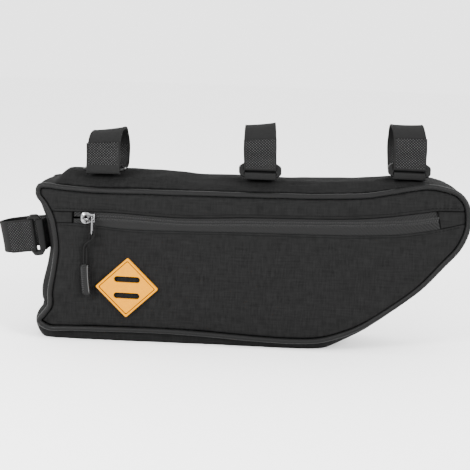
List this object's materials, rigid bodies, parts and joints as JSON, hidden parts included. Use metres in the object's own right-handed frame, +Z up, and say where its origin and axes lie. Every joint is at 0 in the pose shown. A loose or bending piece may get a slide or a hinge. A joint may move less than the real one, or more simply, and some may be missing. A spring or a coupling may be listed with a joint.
{
  "type": "bicycle frame bag",
  "caption": "Soft wedge-shaped bag for the triangle of a bicycle frame, with a long zip, piped edges, hook-and-loop strap loops on plastic rings and a diamond lash tab.",
  "frame": {"origin": "on the flat underside that the bag rests on, at the middle of its length and depth", "axes": "+X along the bag towards its rounded front end, -Y out of the zipped panel, +Z up, out of the top straps"},
  "size_m": [0.3852, 0.0716, 0.1854],
  "materials": {
    "packcloth": "matt woven nylon with a coated back",
    "piping_cloth": "woven nylon wrapped over a round cord",
    "webbing": "hook-and-loop webbing, matt",
    "black_plastic": "moulded, slight sheen",
    "zip_tape": "close woven tape",
    "zip_coil": "nylon coil, slight sheen",
    "steel": "plated zinc and wire, polished",
    "cord": "braided",
    "grip_rubber": "moulded, satin",
    "tan_leather": "smooth face, raised rim"
  },
  "bodies": {
    "root": {"gusset": "packcloth", "back_panel": "packcloth", "front_panel_upper": "packcloth", "front_panel_lower": "packcloth", "front_piping": "piping_cloth", "back_piping": "piping_cloth", "zipper_tape": "zip_tape", "zipper_chain": "zip_coil", "zip_end_tab_left": "packcloth", "zip_end_tab_right": "packcloth", "zipper_slider": "steel", "pull_wire": "steel", "pull_cord": "cord", "pull_grip": "grip_rubber", "lash_tab": "tan_leather", "strap_left": "webbing", "strap_left_ring_tab": "webbing", "strap_left_ring": "black_plastic", "strap_middle": "webbing", "strap_middle_ring_tab": "webbing", "strap_middle_ring": "black_plastic", "strap_right": "webbing", "strap_right_ring_tab": "webbing", "strap_right_ring": "black_plastic", "strap_seat": "webbing", "strap_seat_ring_tab": "webbing", "strap_seat_ring": "black_plastic"}
  },
  "joints": []
}
